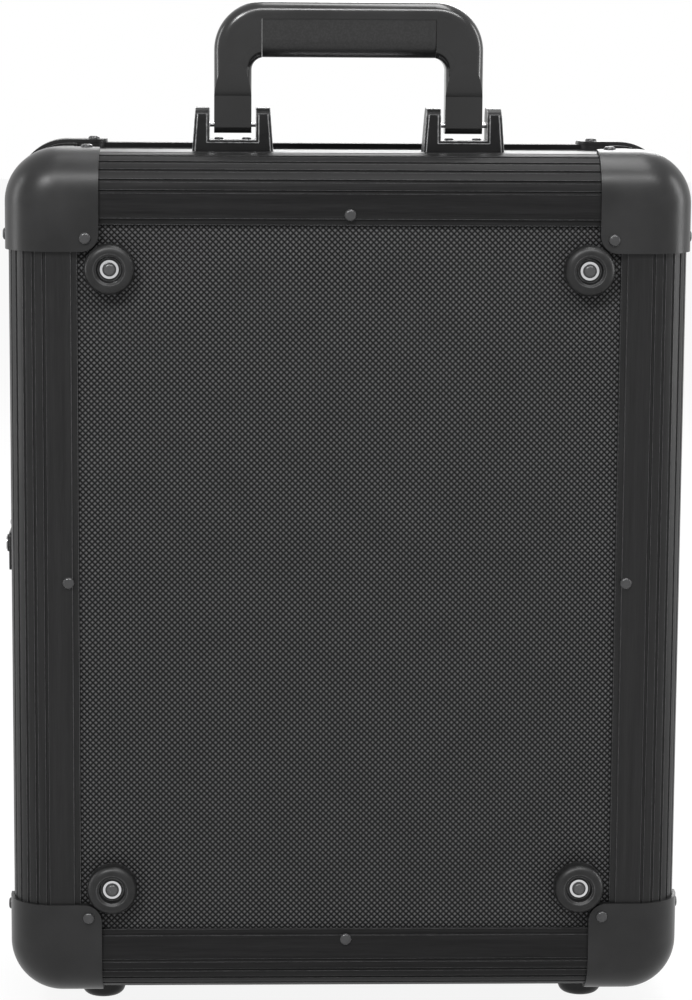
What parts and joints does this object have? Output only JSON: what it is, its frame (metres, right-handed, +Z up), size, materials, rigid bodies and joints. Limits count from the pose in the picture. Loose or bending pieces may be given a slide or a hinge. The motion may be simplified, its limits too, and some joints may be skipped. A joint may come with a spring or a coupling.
{
  "type": "flight case",
  "caption": "Upright flight case with ribbed edge rails, moulded corners, textured boards, a folding carry handle, a side latch and a hinged lid.",
  "frame": {"origin": "on the floor under the standing feet, in the middle of the case's width and of its overall depth", "axes": "+Z up, +Y from the padded broad face towards the lid, +X to the right seen from the padded face"},
  "size_m": [0.3893, 0.1706, 0.577],
  "materials": {
    "black_rail": "satin black anodised",
    "corner_moulding": "satin black",
    "textured_laminate": "embossed diamond texture",
    "seam_profile": "satin dark anodised",
    "lining_foam": "open cell foam",
    "rubber_foot": "matte",
    "grip_rubber": "satin",
    "handle_moulding": "semi gloss",
    "bracket_metal": "satin black",
    "dark_rivet": "polished dark",
    "bright_plate": "brushed",
    "black_hardware": "satin black",
    "latch_metal": "dark nickel",
    "bright_steel": "polished"
  },
  "bodies": {
    "base": {"base_bottom_panel": "textured_laminate", "base_corner_bottom_left": "corner_moulding", "base_corner_bottom_right": "corner_moulding", "base_corner_posts": "black_rail", "base_corner_top_left": "corner_moulding", "base_corner_top_right": "corner_moulding", "base_face_panel": "textured_laminate", "base_feet": "rubber_foot", "base_foam_floor": "lining_foam", "base_foam_walls": "lining_foam", "base_foot_screws": "bright_steel", "base_hinge_leaves": "black_hardware", "base_left_panel": "textured_laminate", "base_rail_bottom": "black_rail", "base_rail_left": "black_rail", "base_rail_right": "black_rail", "base_rail_top": "black_rail", "base_right_panel": "textured_laminate", "base_rivets": "dark_rivet", "base_seam_frame": "seam_profile", "base_top_panel": "textured_laminate", "face_pad_screws": "bright_steel", "face_pad_washers": "bright_steel", "face_pads": "rubber_foot", "handle_bracket_left": "bracket_metal", "handle_bracket_right": "bracket_metal", "handle_bracket_screws": "bright_steel", "handle_pins": "bright_steel", "hinge_pins": "bright_steel", "latch_pin": "bright_steel", "latch_plate": "latch_metal", "name_plate": "bright_plate", "name_plate_rivets": "bright_plate"},
    "lid": {"lid_bottom_panel": "textured_laminate", "lid_corner_bottom_left": "corner_moulding", "lid_corner_bottom_right": "corner_moulding", "lid_corner_posts": "black_rail", "lid_corner_top_left": "corner_moulding", "lid_corner_top_right": "corner_moulding", "lid_face_panel": "textured_laminate", "lid_feet": "rubber_foot", "lid_foam_pad": "lining_foam", "lid_foot_screws": "bright_steel", "lid_hinge_leaves": "black_hardware", "lid_left_panel": "textured_laminate", "lid_rail_bottom": "black_rail", "lid_rail_left": "black_rail", "lid_rail_right": "black_rail", "lid_rail_top": "black_rail", "lid_right_panel": "textured_laminate", "lid_rivets": "dark_rivet", "lid_seam_frame": "seam_profile", "lid_top_panel": "textured_laminate", "latch_keeper": "latch_metal"},
    "handle": {"handle_frame": "handle_moulding", "handle_grip": "grip_rubber"},
    "latch_lever": {"latch_lever": "latch_metal"},
    "latch_bail": {"latch_bail": "bright_steel"},
    "lock": {"lock_cylinder": "bright_steel"}
  },
  "joints": [
    {"name": "lid_hinge", "type": "hinge", "parent": "base", "child": "lid", "pos_m": [0.187, 0.01665, 0.254], "axis": [0, 0, -1], "range_deg": [0, 110]},
    {"name": "handle_pivot", "type": "hinge", "parent": "base", "child": "handle", "pos_m": [0, -0.03035, 0.5085], "axis": [1, 0, 0], "range_deg": [-85, 85]},
    {"name": "latch_lever_pivot", "type": "hinge", "parent": "base", "child": "latch_lever", "pos_m": [-0.1912, 0.00265, 0.262], "axis": [0, 0, -1], "range_deg": [0, 110]},
    {"name": "latch_bail_pivot", "type": "hinge", "parent": "latch_lever", "child": "latch_bail", "pos_m": [-0.1912, -0.00435, 0.262], "axis": [0, 0, -1], "range_deg": [-110, 0]},
    {"name": "lock_turn", "type": "hinge", "parent": "latch_lever", "child": "lock", "pos_m": [-0.1912, -0.01335, 0.266], "axis": [-1, 0, 0], "range_deg": [0, 90]}
  ],
  "couplings": [
    {"joint": "latch_bail_pivot", "follows": "latch_lever_pivot", "ratio": -1}
  ]
}
